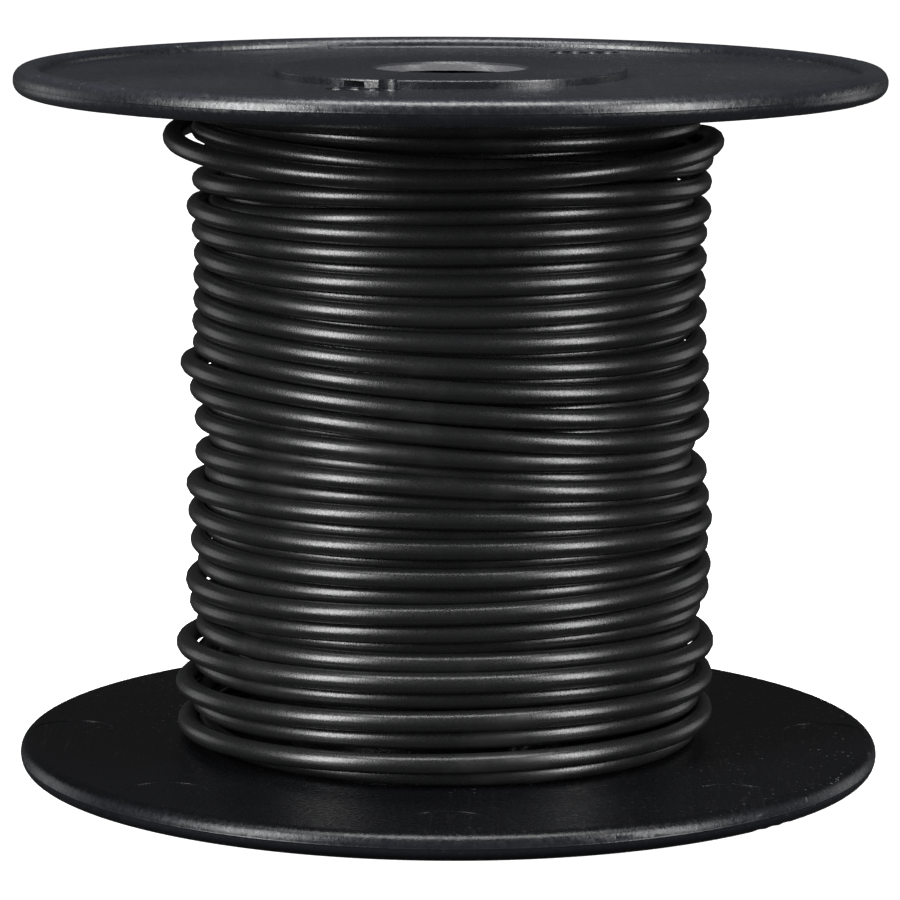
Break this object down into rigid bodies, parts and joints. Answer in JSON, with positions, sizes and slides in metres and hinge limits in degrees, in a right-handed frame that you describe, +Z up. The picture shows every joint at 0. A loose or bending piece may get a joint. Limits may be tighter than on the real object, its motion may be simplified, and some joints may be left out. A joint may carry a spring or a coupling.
{
  "type": "wire spool",
  "caption": "Round plastic spool with two recessed-disc flanges and an arbor hole, wound with insulated black stranded hook-up wire in uneven crossing layers.",
  "frame": {"origin": "centre of the ring that the lower flange rests on", "axes": "+Z up the winding axis; -Y towards the viewer, +X to the right"},
  "size_m": [0.127, 0.127, 0.1032],
  "materials": {
    "flange_plastic": "satin moulded, finely scratched",
    "wire_jacket": "satin extruded vinyl with a fine grain",
    "copper": "bright drawn copper strands"
  },
  "bodies": {
    "root": {"upper_flange": "flange_plastic", "lower_flange": "flange_plastic", "barrel": "flange_plastic", "winding": "wire_jacket", "start_tail": "wire_jacket", "finish_tail": "wire_jacket", "start_conductor": "copper", "finish_conductor": "copper"}
  },
  "joints": []
}
